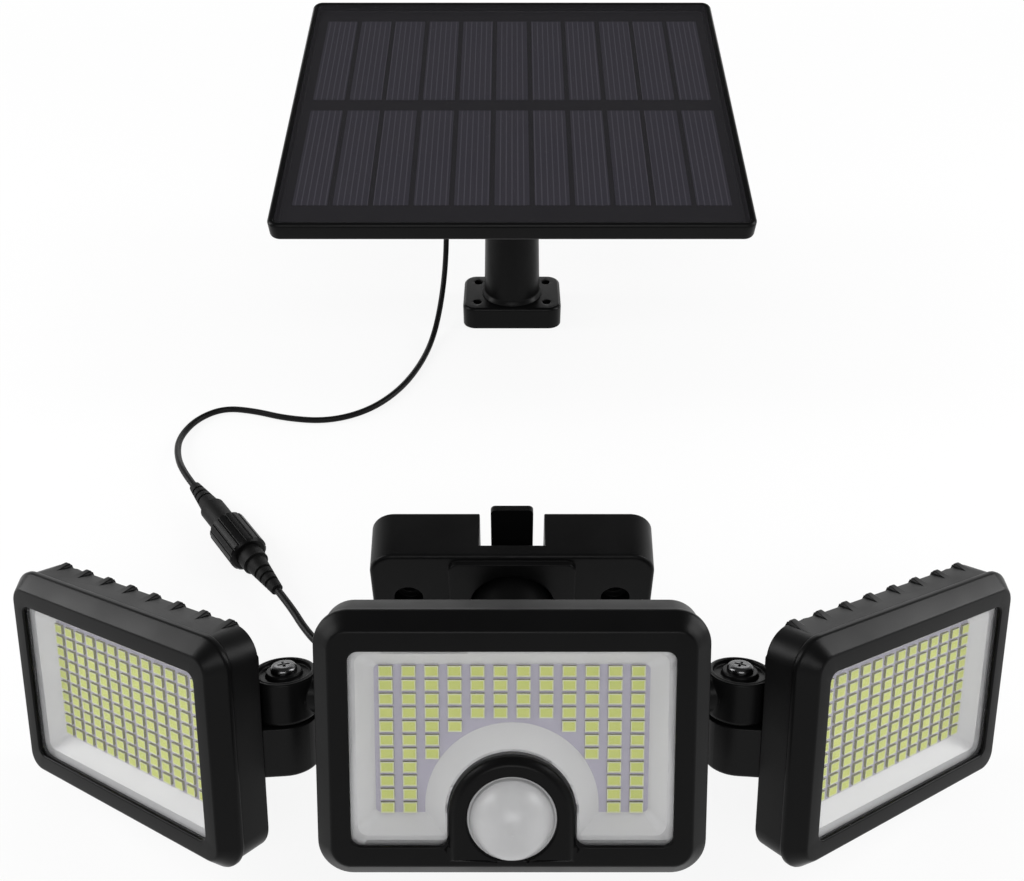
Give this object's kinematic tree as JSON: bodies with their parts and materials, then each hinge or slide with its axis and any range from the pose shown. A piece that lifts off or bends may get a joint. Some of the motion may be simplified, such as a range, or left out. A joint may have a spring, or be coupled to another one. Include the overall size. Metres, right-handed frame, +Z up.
{
  "type": "solar floodlight",
  "caption": "Black solar floodlight with tilting, swivelling LED heads and a motion sensor on a wall base, fed by a separate tilting solar panel on a foot.",
  "frame": {"origin": "middle of the wall plate's back face", "axes": "+X to the viewer's right, +Y from the viewer into the wall, +Z up"},
  "size_m": [0.3123, 0.448, 0.1455],
  "materials": {
    "housing": "satin black",
    "clear_sheet": "clear",
    "reflector": "light grey",
    "led_board": "pale lilac mask",
    "led_chip": "phosphor",
    "seal": "matt black",
    "steel": "blackened or plain",
    "sensor_dome": "milky",
    "battery": "wrapped cell",
    "circuit": "green mask",
    "panel_glass": "clear",
    "solar_cell": "dark silicon",
    "cord": "matt black"
  },
  "bodies": {
    "base": {"wall_plate": "housing", "base_housing": "housing", "battery_cell": "battery", "charge_board": "circuit", "back_screws": "steel", "neck": "housing", "neck_screw": "steel", "base_gland": "housing", "panel_foot": "housing", "foot_screw": "steel", "panel_post": "housing", "panel_cord": "cord", "plug_body": "cord", "socket_body": "cord", "lamp_cord": "cord"},
    "centre_head": {"centre_rear_housing": "housing", "centre_bezel": "housing", "centre_lens": "clear_sheet", "centre_reflector": "reflector", "centre_led_board": "led_board", "centre_led_chips": "led_chip", "centre_seal": "seal", "centre_screws": "steel", "sensor_dome": "sensor_dome", "sensor_can": "steel", "mode_switch": "circuit", "tilt_bolt": "steel", "tilt_nut": "steel"},
    "mode_button": {"mode_button": "seal"},
    "left_arm": {"left_knuckle": "housing", "left_arm_screw": "steel"},
    "left_head": {"left_rear_housing": "housing", "left_bezel": "housing", "left_lens": "clear_sheet", "left_reflector": "reflector", "left_led_board": "led_board", "left_led_chips": "led_chip", "left_seal": "seal", "left_screws": "steel", "left_pivot_screw": "steel"},
    "right_arm": {"right_knuckle": "housing", "right_arm_screw": "steel"},
    "right_head": {"right_rear_housing": "housing", "right_bezel": "housing", "right_lens": "clear_sheet", "right_reflector": "reflector", "right_led_board": "led_board", "right_led_chips": "led_chip", "right_seal": "seal", "right_screws": "steel", "right_pivot_screw": "steel"},
    "panel": {"panel_frame": "housing", "panel_glass": "panel_glass", "solar_cells": "solar_cell", "panel_bracket": "housing", "bracket_screws": "steel", "panel_bolt": "steel", "junction_box": "housing", "panel_gland": "housing"},
    "coupling_nut": {"coupling_nut": "housing"}
  },
  "joints": [
    {"name": "head_tilt", "type": "hinge", "parent": "base", "child": "centre_head", "pos_m": [0, -0.0881, 0.012], "axis": [1, 0, 0], "range_deg": [-30, 45]},
    {"name": "left_arm_tilt", "type": "hinge", "parent": "centre_head", "child": "left_arm", "pos_m": [-0.064, -0.0709, 0.02978], "axis": [1, 0, 0], "range_deg": [-25, 25]},
    {"name": "left_swivel", "type": "hinge", "parent": "left_arm", "child": "left_head", "pos_m": [-0.064, -0.0709, 0.02978], "axis": [0, 0.4147, 0.91], "range_deg": [-18, 50]},
    {"name": "right_arm_tilt", "type": "hinge", "parent": "centre_head", "child": "right_arm", "pos_m": [0.064, -0.0709, 0.02978], "axis": [1, 0, 0], "range_deg": [-25, 25]},
    {"name": "right_swivel", "type": "hinge", "parent": "right_arm", "child": "right_head", "pos_m": [0.064, -0.0709, 0.02978], "axis": [0, 0.4147, 0.91], "range_deg": [-50, 18]},
    {"name": "panel_tilt", "type": "hinge", "parent": "base", "child": "panel", "pos_m": [0, 0.24382, 0.06715], "axis": [1, 0, 0], "range_deg": [-15, 45], "deforming": ["panel_cord"]},
    {"name": "button_press", "type": "slide", "parent": "centre_head", "child": "mode_button", "axis": [0, -0.866, 0.5], "range_m": [0, 0.001], "stiffness_N_per_m": 300, "springref_m": -0.002},
    {"name": "nut_turn", "type": "hinge", "parent": "base", "child": "coupling_nut", "pos_m": [-0.1145, 0.0505, -0.0248], "axis": [0.6103, -0.7921, 0], "continuous": true}
  ]
}
